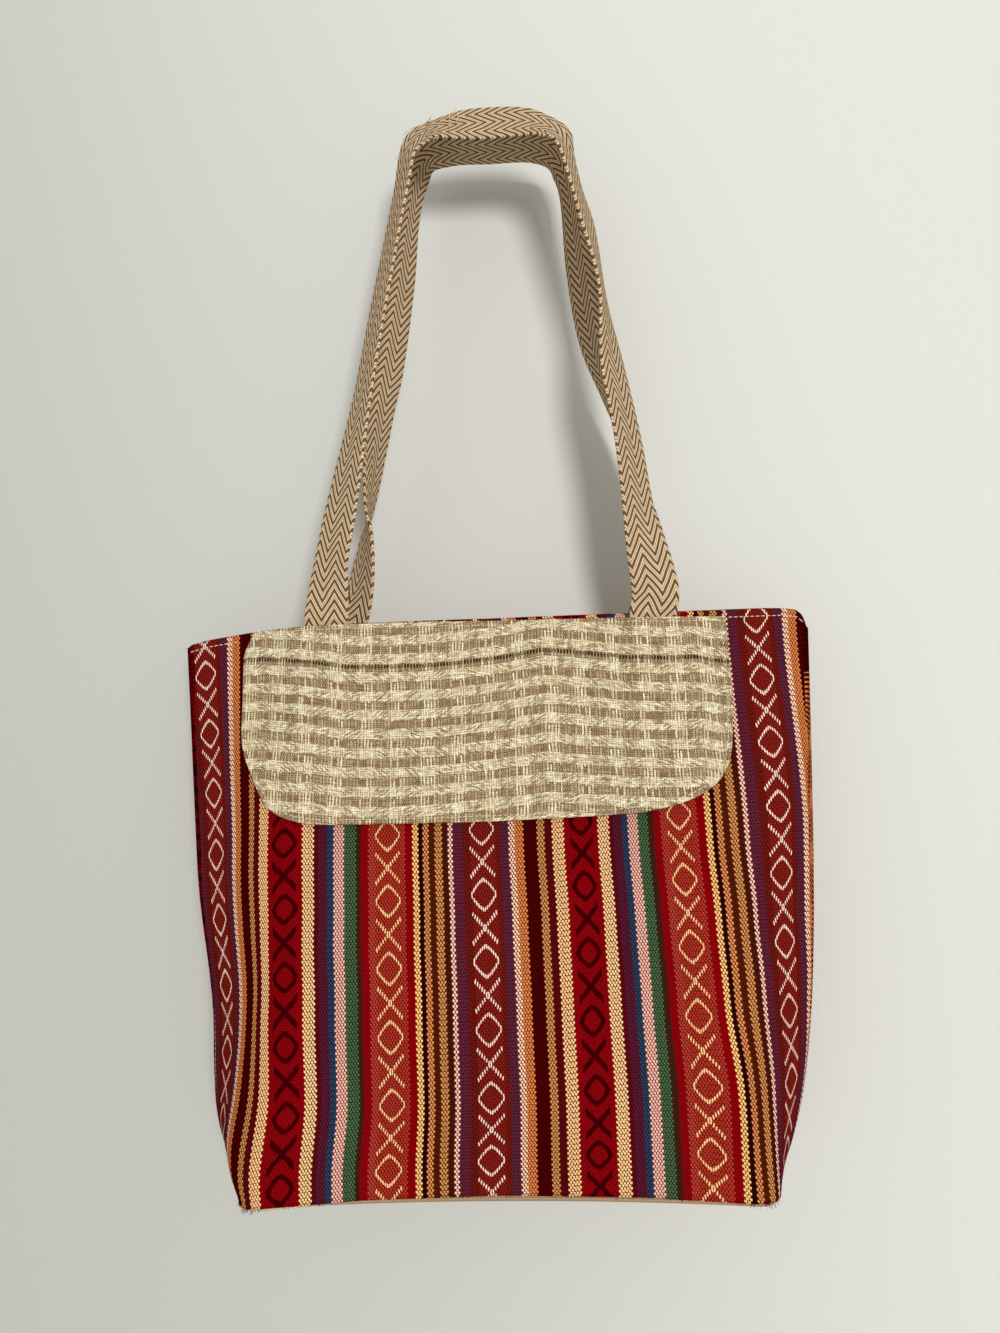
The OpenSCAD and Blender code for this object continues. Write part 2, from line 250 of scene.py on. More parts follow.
def woven_at(s, z, face):
    """Where a point lies in the weave: across its warp threads and along them"""
    if face == BACK:
        s = BACK_TURN - s
    levels = [(height, along_line(list(zip(DRIFT_AT, drifts)), s)) for height, drifts in DRIFT]
    drift = levels[0][1]
    for (z0, _), (z1, further) in zip(levels, levels[1:]):
        drift += (further - drift) * ease((z - z0) / (z1 - z0))
    lift = ROW_LIFT * min(((z - ROWS_LEVEL) / LIFT_REACH) ** 2, 1)
    return s - drift, (z - lift - along_line(FIRST_ROW, s)) * MOTIF_PITCH / along_line(PITCH, s)


def piece_from(name, bm, finish):
    """The surface as a piece of the scene, in its finish"""
    bmesh.ops.recalc_face_normals(bm, faces=bm.faces)
    mesh = bpy.data.meshes.new(name)
    bm.to_mesh(mesh)
    bm.free()
    mesh.materials.append(finish)
    piece = bpy.data.objects.new(name, mesh)
    bpy.context.scene.collection.objects.link(piece)
    return piece


def closed_piece(name, rows, marks, finish):
    """A piece in metres from rings of points, with each point's place in the weave as its UV map"""
    bm = bmesh.new()
    uv = bm.loops.layers.uv.new("Cloth")
    grid = [[bm.verts.new(Vector(p) / 1000) for p in row] for row in rows]
    for i in range(len(rows) - 1):
        for j in range(len(rows[i]) - 1):
            corners = ((i, j), (i, j + 1), (i + 1, j + 1), (i + 1, j))
            f = bm.faces.new([grid[a][b] for a, b in corners])
            f.smooth = True
            for loop, (a, b) in zip(f.loops, corners):
                loop[uv].uv = marks[a][b]
    # Each ring's last point meets its first, and the first and last rings are filled
    bmesh.ops.remove_doubles(bm, verts=bm.verts, dist=1e-6)
    edges = [e for e in bm.edges if e.is_boundary]
    filled = bmesh.ops.holes_fill(bm, edges=edges, sides=0)["faces"]
    for f in filled:
        for loop in f.loops:
            near = [l for l in loop.vert.link_loops if l.face not in filled]
            loop[uv].uv = near[0][uv].uv if near else (0, 0)
    return piece_from(name, bm, finish)


class Term:
    """A number, colour or direction in a finish, so that its sums are written as sums"""

    def __init__(self, finish, socket):
        self.finish, self.socket = finish, socket

    def math(self, operation, *values):
        return self.finish.node("ShaderNodeMath", {"operation": operation}, values)

    def __add__(self, other):
        return self.math("ADD", self, other)

    def __sub__(self, other):
        return self.math("SUBTRACT", self, other)

    def __rsub__(self, other):
        return self.math("SUBTRACT", other, self)

    def __mul__(self, other):
        return self.math("MULTIPLY", self, other)

    def __truediv__(self, other):
        return self.math("DIVIDE", self, other)

    def __pow__(self, other):
        return self.math("POWER", self, other)

    def __gt__(self, other):
        return self.math("GREATER_THAN", self, other)

    def __abs__(self):
        return self.math("ABSOLUTE", self)

    __radd__, __rmul__ = __add__, __mul__

    def floor(self):
        return self.math("FLOOR", self)

    def fract(self):
        return self.math("FRACT", self)

    def off_middle(self):
        """0 halfway between two whole numbers and 0.5 at each of them"""
        return abs(self.fract() - 0.5)

    def wave(self, length):
        """1 at each whole length and -1 halfway"""
        return self.math("COSINE", self * (math.tau / length))

    def least(self, other):
        return self.math("MINIMUM", self, other)

    def fade(self, low, high):
        """0 at low and 1 at high, smooth between them"""
        settings = {"interpolation_type": "SMOOTHSTEP"}
        if low > high:
            return self.finish.node("ShaderNodeMapRange", settings, [self, high, low, 1, 0])
        return self.finish.node("ShaderNodeMapRange", settings, [self, low, high, 0, 1])


class Finish:
    """A material made of nodes"""

    def __init__(self, name, roughness, specular, sheen=0.0):
        self.material = bpy.data.materials.new(name)
        self.material.use_nodes = True
        self.tree = self.material.node_tree
        self.shader = self.tree.nodes["Principled BSDF"]
        self.shader.inputs["Roughness"].default_value = roughness
        self.shader.inputs["Specular IOR Level"].default_value = specular
        self.shader.inputs["Sheen Weight"].default_value = sheen

    def put(self, socket, value):
        """A link where the value comes from a node, or else the plain value"""
        if isinstance(value, Term):
            self.tree.links.new(value.socket, socket)
        else:
            socket.default_value = value

    def node(self, kind, settings=None, values=(), out=0):
        """Any node, with its settings first and then its sockets by place or by name"""
        made = self.tree.nodes.new(kind)
        for key, value in (settings or {}).items():
            if key == "stops":
                ramp = made.color_ramp
                ramp.interpolation = "CONSTANT"
                while len(ramp.elements) < len(value):
                    ramp.elements.new(1)
                for element, (place, colour) in zip(ramp.elements, value):
                    element.position = place
                    element.color = colour
            else:
                setattr(made, key, value)
        for key, value in values.items() if isinstance(values, dict) else enumerate(values):
            self.put(made.inputs[key], value)
        return Term(self, made.outputs[out])

    def across_and_along(self):
        weave = self.node("ShaderNodeUVMap", {"uv_map": "Cloth"})
        across = self.node("ShaderNodeSeparateXYZ", {}, [weave])
        return across, Term(self, across.socket.node.outputs["Y"])

    def place(self, x, y, z=0.0):
        return self.node("ShaderNodeCombineXYZ", {}, [x, y, z])

    def cloud(self, place, scale=1.0, detail=2.0):
        """Soft noise round 0.5"""
        values = {"Vector": place, "Scale": scale, "Detail": detail}
        return self.node("ShaderNodeTexNoise", {}, values)

    def chance(self, place):
        """A number from 0 to 1 for each cell"""
        return self.node("ShaderNodeTexWhiteNoise", {"noise_dimensions": "3D"}, {"Vector": place})

    def mix(self, factor, a, b):
        """From colour a to colour b. Their sockets share their names with others, so have numbers"""
        return self.node("ShaderNodeMix", {"data_type": "RGBA"}, {0: factor, 6: a, 7: b}, 2)

    def shaded(self, colour, amount):
        """The colour, lighter or darker"""
        return self.node("ShaderNodeVectorMath", {"operation": "SCALE"}, {0: colour, "Scale": amount})

    def finished(self, colour, height, depth, strength):
        """Colour and relief on the shader. Height is from 0 to 1, and depth is in millimetres"""
        self.put(self.shader.inputs["Base Color"], colour)
        values = {"Strength": strength, "Distance": depth / 1000, "Height": height}
        relief = self.node("ShaderNodeBump", {}, values)
        self.put(self.shader.inputs["Normal"], relief)
        return self.material


def dye(red, green, blue):
    """A colour as it looks, from 0 to 255, in the plain measure that a shader takes"""
    def plain(v):
        v /= 255
        return v / 12.92 if v <= 0.04045 else ((v + 0.055) / 1.055) ** 2.4

    return (plain(red), plain(green), plain(blue), 1.0)


# Each stripe's width, its threads' colour and the darker colour between them, which is painted shade
# in the gaps between the threads, in order over one repeat
STRIPES = [
    (21.0, (134, 6, 13), (108, 2, 8)), (7.1, (252, 200, 142), (62, 22, 8)),
    (2.9, (90, 11, 22), (68, 4, 12)), (5.6, (84, 27, 46), (56, 12, 28)),
    (3.6, (42, 62, 90), (20, 30, 44)), (6.5, (240, 178, 162), (70, 22, 16)),
    (6.8, (72, 100, 66), (22, 30, 16)), (2.7, (66, 32, 22), (44, 18, 10)),
    (5.2, (134, 6, 12), (112, 2, 8)), (4.4, (172, 62, 50), (106, 4, 2)),
    (15.5, (162, 52, 38), (104, 4, 2)), (2.7, (168, 56, 44), (106, 4, 2)),
    (5.0, (134, 5, 10), (112, 2, 6)), (3.4, (255, 196, 122), (84, 38, 8)),
    (3.05, (42, 9, 7), (30, 3, 2)), (3.65, (212, 136, 82), (72, 24, 6)),
    (3.05, (80, 28, 10), (60, 12, 2)), (5.2, (204, 138, 82), (66, 24, 6)),
    (3.0, (74, 26, 12), (52, 8, 3)), (3.5, (250, 194, 174), (66, 16, 10)),
    (6.15, (94, 28, 40), (70, 10, 20)), (4.3, (102, 26, 20), (80, 9, 5)),
    (15.5, (124, 32, 24), (88, 8, 4)), (3.35, (106, 26, 19), (84, 8, 4)),
    (5.5, (87, 30, 44), (64, 12, 24)), (3.65, (250, 200, 170), (74, 30, 16)),
    (5.2, (216, 128, 72), (90, 26, 2)), (8.2, (66, 4, 5), (57, 1, 2)),
    (5.2, (202, 138, 82), (66, 24, 6)), (4.55, (86, 12, 15), (64, 3, 4)),
    (7.3, (250, 194, 136), (64, 24, 8)),
]
# Places within one repeat: the two purple stripes, the middles of the three columns of motifs, and
# where the second and the third column's own stretches start
PURPLE_STRIPES = [(113.8, 120), (143.2, 148.5)]
BLACK_AT, YELLOW_AT, WHITE_AT = 10.5, 73.5, 132.0
YELLOW_FROM, WHITE_FROM = 45, 105
# Half the width and height of a ring, woven in or floating, and how steep its cross is
WOVEN_W, WOVEN_H, WOVEN_CROSS = 6.5, 7.6, 1.1
FLOAT_W, FLOAT_H, FLOAT_CROSS = 7.8, 8.7, 1.16
# Width of a warp thread, length of a pick, and the space from one floating thread to the next
THREAD, PICK, FLOAT_SPACE = 0.92, 3.2, 1.3


def striped_finish():
    f = Finish("striped_cloth", 0.95, 0.0)
    across, along = f.across_and_along()
    slow = f.cloud(f.place(across * 0.02, along * 0.012))
    across = across + (slow - 0.5) * 0.5
    # Each thread swells where it lies on top and narrows where it dips, half a pick after its
    # neighbour
    swollen = across + along.wave(PICK) * across.wave(2 * THREAD) * 0.24
    column = (swollen / THREAD).floor()
    stagger = (column * 0.5).fract() + f.chance(f.place(column, 3.3)) * 0.12
    in_column = (swollen / THREAD).fract() - 0.5
    in_pick = (along / PICK + stagger).fract() - 0.5
    gap_reach = ((in_column + in_pick * 0.6) / 0.85) ** 2 + (in_pick / 0.33) ** 2
    thread = gap_reach.fade(0.45, 1.1)
    # The middle of each float stands up in the relief and is painted lighter there: a painted
    # highlight
    crest_and_highlight = (0.5 - abs(in_pick)).fade(0.22, 0.0) * abs(in_column).fade(0.5, 0.1)
    # The stripes' colours, in two halves of the repeat so that narrow ones keep their widths
    whole = sum(width for width, _, _ in STRIPES)
    in_repeat = (((column + 0.5) * THREAD - REPEAT_FROM) / REPEAT).fract()
    later = in_repeat > 0.5

    def stripes(colours):
        halves = []
        for half in (0, 1):
            stops, start = [(0, colours[0])], 0
            for (width, _, _), colour in zip(STRIPES, colours):
                spot = start / whole * 2 - half
                if spot <= 0:
                    stops[0] = (0, colour)
                elif spot < 1:
                    stops.append((spot, colour))
                start += width
            halves.append(f.node("ShaderNodeValToRGB", {"stops": stops}, [in_repeat * 2 - half]))
        return f.mix(later, *halves)

    # Between its threads each stripe takes its darker colour: painted shade in the gaps
    colour = f.mix(thread, stripes([dye(*gap_shade) for _, _, gap_shade in STRIPES]),
                   stripes([dye(*light) for _, light, _ in STRIPES]))
    # Pale blue picks show in rows on the two purple stripes
    place = ((across - REPEAT_FROM) / REPEAT).fract() * REPEAT
    on_first, on_second = ((place > low) * (1 - (place > high)) for low, high in PURPLE_STRIPES)
    blue_pick = (along / 2.1).off_middle().fade(0.3, 0.1) * (across / 1.85).off_middle().fade(0.5, 0.2)
    colour = f.mix(blue_pick * (on_first + on_second) * 0.28, colour, dye(76, 70, 104))
    # Rings and crosses alternate up three stripes of each repeat: black, yellow and white. The black
    # ones are woven in, the others are loose floats that lie side by side on the cloth
    after_black, after_yellow = place > YELLOW_FROM, place > WHITE_FROM
    x = place - BLACK_AT - after_black * (YELLOW_AT - BLACK_AT) - after_yellow * (WHITE_AT - YELLOW_AT)
    ring_y = (along / MOTIF_PITCH + 0.5).off_middle() * MOTIF_PITCH
    cross_y = (along / MOTIF_PITCH).off_middle() * MOTIF_PITCH
    fuzzy = f.cloud(f.place(across * 0.9, along * 0.6))
    round_off = abs(((abs(x) / WOVEN_W) ** 1.35 + (ring_y / WOVEN_H) ** 1.35) ** 0.74 - 1) * 7.0
    cross_off = abs(cross_y - abs(x) * WOVEN_CROSS) * 0.67 + abs(x).fade(7.0, 7.8) * 9
    woven = (round_off.least(cross_off) + (fuzzy - 0.5) * 2 + (1 - thread) * 0.5).fade(2.0, 1.2)
    nearest = (x / FLOAT_SPACE).floor() + 0.5
    x_thread = abs(nearest * FLOAT_SPACE)
    x_off = x - nearest * FLOAT_SPACE
    uneven = f.chance(f.place(nearest, (along / (MOTIF_PITCH / 2)).floor(), (across / 60).floor()))
    inside = 1 - (x_thread > 7.7)
    slant = (x > 0) * 2 - 1
    ring_gap = ring_y - (1 - (x_thread / FLOAT_W) ** 1.45) * FLOAT_H
    cross_gap = cross_y - x_thread * FLOAT_CROSS
    width, length = 0.40 + uneven * 0.1, 1.2 + uneven * 0.4
    on_ring, on_cross = (
        ((x_off + gap * slant * 0.14) / width) ** 2 + (gap / length) ** 2
        for gap in (ring_gap, cross_gap)
    )
    floats = on_ring.least(on_cross).fade(1.15, 0.65) * inside
    motif = woven + (floats - woven) * after_black
    motif_colour = f.mix(after_black, dye(44, 0, 3), dye(252, 206, 146))
    motif_colour = f.mix(after_yellow, motif_colour, dye(252, 220, 204))
    colour = f.mix(motif * (0.9 + after_black * 0.1), colour, motif_colour)
    # Each thread and each stretch of it takes the dye a little differently, and the middle of each
    # float is painted lighter as a highlight
    per_thread = f.chance(f.place(column, (along / 26).floor()))
    worn = f.cloud(f.place(across * 0.03, along * 0.02), detail=4.0)
    shade = 0.80 + per_thread * 0.10 + worn * 0.16 + fuzzy * 0.14 + crest_and_highlight * 0.16
    height = thread * 0.6 + crest_and_highlight * 0.3 + motif * after_black * 0.5 + fuzzy * 0.15
    return f.finished(f.shaded(colour, shade), height, 0.5, 0.8)


striped_cloth = striped_finish()


def steps(low, high, step):
    """Even places from low to high, about a step apart"""
    n = max(1, round(abs(high - low) / step))
    return [low + (high - low) * i / n for i in range(n + 1)]


def panel_columns():
    """Places across a panel, close together at its seams"""
    seam = [0, 0.5, 1.2, 2.2, 3.6, 5.5]
    inner = steps(-HALF + 8, HALF - 8, 3)
    return [-HALF + d for d in seam] + inner + [HALF - d for d in reversed(seam)]


def layer(name, face, profile, columns, finish, mark=woven_at):
    """A closed layer of cloth. profile(s) gives its (height, offset) points all the way round"""
    rows, marks = [], []
    for s in columns:
        line = profile(s)
        line.append(line[0])
        rows.append([cloth_point(s, z, off, face) for z, off in line])
        marks.append([mark(s, z, face) for z, off in line])
    return closed_piece(name, rows, marks, finish)


# The seam pulls the cloth in this far where the panels meet, over this reach
SEAM_PULL, SEAM_REACH = 0.95, 2.4


def panel_profile(s):
    """Up the outside, over the rim, down the hem inside, and on down the cloth's inner face"""
    pull = -SEAM_PULL * math.exp(-(((HALF - abs(s)) / SEAM_REACH) ** 2))
    fold = (CLOTH_T * 2 + 0.2) / 2
    outer = [(z, pull) for z in steps(EDGE_UP, BODY_H - fold, 3.5)]
    over = [
        (BODY_H - fold + fold * math.sin(a), -fold + (fold + pull) * math.cos(a))
        for a in (math.pi * i / 8 for i in range(1, 8))
    ]
    hem = [(z, -2 * fold) for z in steps(BODY_H - fold, BODY_H - HEM_W, 4)]
    inner = [(z, -CLOTH_T) for z in steps(BODY_H - HEM_W - 0.5, EDGE_UP, 6)]
    return outer + over + hem + inner


for face, side in ((FRONT, "front"), (BACK, "back")):
    piece = layer(f"{side}_striped_cloth", face, panel_profile, panel_columns(), striped_cloth)
    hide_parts(f"{side}_panel", f"hem_{side}")
    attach(piece, "bag")

# ---- Base ----
# One piece of plain undyed canvas makes the boxed base. It turns up inside the striped cloth,
# whose raw lower edge is sewn to it, and its underside bows up a little along the front.
BASE_IN, BASE_T, TURN_UP = 2.2, 1.2, 8
# The bow's height, how far it reaches to the sides, and over what depth it fades to the back
BASE_BOW, BOW_REACH, BOW_FADE = 4.2, 150, 50


def canvas_finish(name, pale, gap_shade, thread):
    """Plain weave of slubby undyed thread"""
    f = Finish(name, 0.95, 0.15, 0.05)
    across, along = f.across_and_along()
    slub = f.cloud(f.place(across * 0.05, along * 0.9), detail=3.0)
    slub_up = f.cloud(f.place(across * 0.9, along * 0.05), detail=3.0)
    weave = abs(across.wave(2 * thread)) * 0.5 + abs(along.wave(2 * thread)) * 0.5
    cloud = f.cloud(f.place(across * 0.02, along * 0.02), detail=3.0)
    # The colour is darker between the threads and lighter on their tops: painted shade and highlight
    shade = 0.80 + weave * 0.12 + (slub + slub_up) * 0.10 + cloud * 0.10
    colour = f.mix(weave.fade(0.1, 0.75), gap_shade, pale)
    height = weave * 0.7 + (slub + slub_up) * 0.3
    return f.finished(f.shaded(colour, shade), height, 0.35, 0.8)


base_canvas = canvas_finish("base_canvas", dye(170, 142, 112), dye(96, 72, 50), 1.1)


def whole_ring(z, off):
    """Points all round the bag at one height"""
    columns = steps(-HALF, HALF, 6)
    front = [cloth_point(s, z, off, FRONT) for s in columns[:-1]]
    back = [cloth_point(s, z, off, BACK) for s in reversed(columns)]
    return front + back


def bowed(p, z):
    """The point at height z, raised by the base's bow, which is most at the front's middle"""
    bow = BASE_BOW * max(0, 1 - (p.x / BOW_REACH) ** 2) * ease((5 - p.y) / BOW_FADE)
    return Vector((p.x, p.y, z + bow))


def base_ring(z, off, size):
    """A closed ring of the base, shrunk towards its middle"""
    middle = Vector((0, mid_y(0), 0))
    ring = [bowed(middle + (Vector((p.x, p.y, 0)) - middle) * size, z) for p in whole_ring(0, off)]
    return ring + [ring[0]]


# From the underside's middle out, up round the edge, and back in over the top, as height, place off
# the cloth, and size
base_profile = (
    [(0, -BASE_IN - 1.5, k) for k in (0.02, 0.2, 0.4, 0.6, 0.8, 0.93, 1)]
    + [(0.3, -BASE_IN - 0.4, 1), (1.0, -BASE_IN + 0.5, 1), (2.4, -BASE_IN + 1.3, 1)]
    + [(3.6, -BASE_IN + 1.0, 1), (4.4, -BASE_IN, 1), (TURN_UP, -BASE_IN, 1)]
    + [(TURN_UP, -BASE_IN - BASE_T, 1), (BASE_T, -BASE_IN - BASE_T - 0.4, 1)]
    + [(BASE_T, -BASE_IN - 3, k) for k in (0.97, 0.8, 0.6, 0.4, 0.2, 0.02)]
)
rings = [base_ring(z, off, k) for z, off, k in base_profile]
marks = [[(p.x, p.y + z * 0.8) for p in ring] for ring, (z, _, _) in zip(rings, base_profile)]
base = closed_piece("base_canvas_piece", rings, marks, base_canvas)
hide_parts("base_panel")
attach(base, "bag")

# ---- Lining ----
# Plain undyed cotton: two panels whose tops are caught under the hem, and a base inside the
# canvas one. The lining steps in round the turned-up edge of the base.
LINING_T, LINING_IN, LINING_IN_LOW = 0.8, 2.2, 3.6
lining_cotton = canvas_finish("lining_cotton", dye(226, 208, 174), dye(176, 152, 114), 0.8)


def lining_profile(s):
    """Up the outer face and down the inner one. Low down they lie further in, to clear the base"""
    def inset(z):
        return LINING_IN_LOW + (LINING_IN - LINING_IN_LOW) * ease((z - TURN_UP - 1) / 4)

    heights = [1.6, 5, 9, 10, 11, 12, 13] + steps(20, 316.6, 8)
    outer = [(z, -inset(z) - 0.1) for z in heights]
    return outer + [(z, -inset(z) - LINING_T) for z in reversed(heights)]


for face, side in ((FRONT, "front"), (BACK, "back")):
    columns = steps(-HALF, HALF, 6)
    piece = layer(f"{side}_lining_cotton", face, lining_profile, columns, lining_cotton)
    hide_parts(f"lining_{side}")
    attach(piece, "bag")

sizes = (0.02, 0.25, 0.5, 0.75, 0.9, 0.985)
rings = [base_ring(1.5, -LINING_IN_LOW - 1.6, size) for size in sizes]
rings += [base_ring(2.2, -LINING_IN_LOW - 1.6, size) for size in reversed(sizes)]
marks = [[(p.x, p.y) for p in ring] for ring in rings]
piece = closed_piece("base_lining_cotton", rings, marks, lining_cotton)
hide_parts("lining_base")
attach(piece, "bag")

# ---- Handles ----
# Two loops of 30 mm herringbone webbing. Each is one strap, sewn to the outside of its panel
# for 60 mm at both ends, and twists on its way up to where it hangs.
STRAP_W, STRAP_T, STRAP_END, STRAP_SPACE, LEG_AT = 30, 2.4, 60, 0.3, 105
# Width of a column of the herringbone, how far a dip lies off the middle, and the ribs' pitch
COLUMN_W, DIP_OFF, RIB = 8.6, 3, 3.2


def webbing_finish():
    f = Finish("webbing", 0.95, 0.05)
    across, along = f.across_and_along()
    wander = f.cloud(f.place(across * 0.04, along * 0.05))
    fuzz = f.cloud(f.place(across * 1.3, along * 1.3), detail=3.0)
    # Ribs slant one way and then the other, in columns that drift a little along the webbing
    zigzag = (across / (2 * COLUMN_W) + along / 1300 + 0.63).off_middle() * (2 * COLUMN_W)
    slant = along - zigzag * 1.55 + (wander - 0.5) * 3 + (fuzz - 0.5) * 0.6
    rib = (slant / RIB).off_middle().fade(0.48, 0.22)
    # Every other furrow between them is deep
    deep = (slant / (2 * RIB)).off_middle().fade(0.15, 0.37)
    # Each rib is made of short floats, so that it is lumpy along its length
    floats = f.cloud(f.place(zigzag * 0.55 + across * 0.25, (slant / RIB).floor() * 7.7), detail=1.0)
    pale = f.mix(fuzz, dye(250, 220, 174), dye(255, 248, 216))
    # The colour is darker between the ribs and darkest in every other, deep furrow: painted shade
    colour = f.mix(rib * (0.6 + floats * 0.4), dye(170, 128, 84), pale)
    colour = f.mix(deep * (0.85 + fuzz * 0.15), colour, dye(100, 66, 34))
    shade = 0.84 + fuzz * 0.28 + floats * 0.18
    height = rib * 0.4 + (1 - deep) * 0.6 + floats * 0.3 + fuzz * 0.2
    return f.finished(f.shaded(colour, shade), height, 0.9, 1.0)


webbing = webbing_finish()


def spline(keys, count):
    """Smooth path through keys of as many numbers each"""
    out = []
    for i in range(len(keys) - 1):
        p0, p1, p2, p3 = (keys[min(max(i + k, 0), len(keys) - 1)] for k in (-1, 0, 1, 2))
        for n in range(count):
            t = n / count
            out.append([
                0.5 * (2 * b + (c - a) * t + (2 * a - 5 * b + 4 * c - d) * t * t
                       + (3 * b - a - 3 * c + d) * t ** 3)
                for a, b, c, d in zip(p0, p1, p2, p3)
            ])
    out.append(list(keys[-1]))
    return out


def strap_section():
    """The webbing's outline: rounded selvedges, and faces that dip between the columns"""
    half_w, half_t, across = STRAP_W / 2, STRAP_T / 2, 16
    turns = [math.radians(d) for d in (0, 35, 70)]
    edge = [(half_w - half_t * (1 - math.cos(a)), half_t * math.sin(a)) for a in turns]
    flat = []
    for i in range(1, across):
        x = half_w - half_t - (STRAP_W - 2 * half_t) * i / across
        crown = abs(math.sin(math.pi * (x + DIP_OFF) / COLUMN_W)) ** 0.7
        flat.append((x, half_t * (0.80 + 0.20 * crown)))
    upper = edge + flat + [(-x, y) for x, y in reversed(edge)]
    lower = [(x, -y) for x, y in reversed(upper)]
    return upper + lower[1:-1]


def way_at(places, i):
    """Direction of a path at its point i"""
    return (places[min(i + 1, len(places) - 1)] - places[max(i - 1, 0)]).normalized()


def strap(name, stations):
    """A strap through stations of place and outward normal, and its length"""
    places = [Vector(s[:3]) for s in stations]
    section = strap_section()
    section.append(section[0])
    rows, marks, run = [], [], 0
    for i, p in enumerate(places):
        way = way_at(places, i)
        out = Vector(stations[i][3:])
        out = (out - out.dot(way) * way).normalized()
        wide = way.cross(out)
        if i:
            run += (p - places[i - 1]).length
        rows.append([p + x * wide + y * out for x, y in section])
        marks.append([(x, run) for x, y in section])
    return closed_piece(name, rows, marks, webbing), run


def sewn_end(side, face, low, high):
    """Stations of a strap's sewn end, from one height to another"""
    out = []
    for z in steps(low, high, 10):
        p = cloth_point(side * LEG_AT, z, STRAP_SPACE + STRAP_T / 2, face)
        q = cloth_point(side * LEG_AT, z, STRAP_SPACE + STRAP_T / 2 + 5, face)
        n = (q - p).normalized()
        if face == BACK:
            n = -n
        out.append([*p, *n])
    return out


def leg(side, keys):
    """Stations of a leg from (x, y, z, turn) keys. It turns its front towards its own side"""
    out = []
    for x, y, z, turn in keys:
        a = math.radians(turn)
        out.append([x, y, z, side * math.sin(a), -math.cos(a), 0])
    return out


def tilted(turn):
    """Normal of a handle's top run. At 90 it lies flat"""
    return [0, -math.cos(math.radians(turn)), math.sin(math.radians(turn))]


# Each handle's panel, its leg up on the left, its top run and its leg down on the right. A leg's
# keys are x, y, z and its turn, and the top run's are x, y, z and its tilt, in degrees
HANDLES = {
    "front": (
        FRONT,
        [(-104.3, -4.4, 352, 8), (-100.8, -4.6, 384, 30), (-93.2, -4.8, 420, 35),
         (-77.5, -5.5, 491, 54), (-63, -6, 560, 58), (-47, -6.4, 632, 60), (-41, -6.5, 658, 55)],
        [(-29, -6.5, 672.5, 42), (-8, -6.5, 675.5, 26), (12, -6.5, 675, 20), (38, -6.5, 673.5, 26),
         (55, -6.5, 666.5, 45)],
        [(63, -6.5, 653, 66), (69, -6.4, 628, 72), (75.4, -6, 601, 70), (83.2, -5.7, 552, 80),
         (87.6, -5.5, 503, 58), (94.8, -5.2, 455, 53), (99.4, -5, 408, 45), (104.4, -4.8, 376, 20),
         (107, -4.4, 355, 5)],
    ),
    "back": (
        BACK,
        [(-97, 24.3, 352, 14), (-88.8, 24.5, 371, 40), (-84.8, 24.6, 392, 54), (-83, 24.8, 410, 66),
         (-80.5, 25, 431, 90), (-71, 25.5, 501, 120), (-65, 26, 530, 126), (-54.5, 26.5, 590, 120),
         (-46, 27, 645, 108)],
        [(-36, 27, 673.5, 100), (-17, 27, 678.5, 93), (10, 27, 677, 90), (40, 27, 676, 93),
         (57.5, 27, 668, 102)],
        [(64.5, 27, 648, 112), (69.3, 26.5, 592, 124), (75.5, 26, 541, 124), (84, 25.5, 500, 100),
         (94.5, 25, 455, 75), (103.5, 24.6, 408, 40), (109, 24.3, 362, 12)],
    ),
}
SEWN_LOW, SEWN_HIGH = BODY_H - STRAP_END, BODY_H - 2
for side, (face, rising, top, falling) in HANDLES.items():
    keys = sewn_end(-1, face, SEWN_LOW, SEWN_HIGH) + leg(-1, rising)
    keys += [[x, y, z, *tilted(turn)] for x, y, z, turn in top]
    keys += leg(1, falling) + sewn_end(1, face, SEWN_HIGH, SEWN_LOW)
    piece, run = strap(f"{side}_webbing_handle", spline(keys, 10))
    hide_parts(f"{side}_handle", f"{side}_handle_end_left", f"{side}_handle_end_right")
    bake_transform(piece)

# ---- Flap ----
# Two layers, a slubby check in cream and brown over a plain cotton lining, sewn right sides
# together and turned. The top edge is sewn to the front over the handles' ends.
FLAP_FACE_T, FLAP_LINING_T = 1.4, 0.8
FLAP_LEFT, FLAP_RIGHT = -161.5, 150.2
# The top edge from left to right, and the lower edge from the left side round to the right one
FLAP_TOP = [
    (-162, 322), (-161, 326.5), (-159.5, 331), (-157, 336.2), (-154.5, 340.2), (-152, 341.2),
    (-60, 341), (0, 339.8), (80, 338.6), (151, 337),
]
FLAP_LOW = [
    (-161.5, 278), (-160.8, 270), (-159, 262), (-156.3, 255.5), (-153, 249.5), (-146.3, 235.5),
    (-140.2, 227.6), (-133, 223.2), (-125.3, 220.3), (-118, 218.6), (-111.4, 217.5), (-100, 216.9),
    (-70.9, 216.5), (4.7, 215.7), (57.3, 216.6), (88.4, 217.6), (102, 219.6), (115.4, 222.9),
    (124.5, 226.2), (132.9, 231), (138.6, 235.8), (143.3, 242), (146, 248.5), (147.8, 256.4),
    (149, 265), (149.8, 275.3), (150.2, 288),
]
# Pitch of the check's rows and of its groups of warp, of its single warp and weft threads, and of the
# dashes of cream warp, and then the height of its one nearly black line
CHECK_ROW, CHECK_GROUP, CHECK_WARP, CHECK_WEFT, CHECK_DASH = 11.72, 19.4, 1.5, 1.4, 2.1
DARK_LINE_AT = 313.8


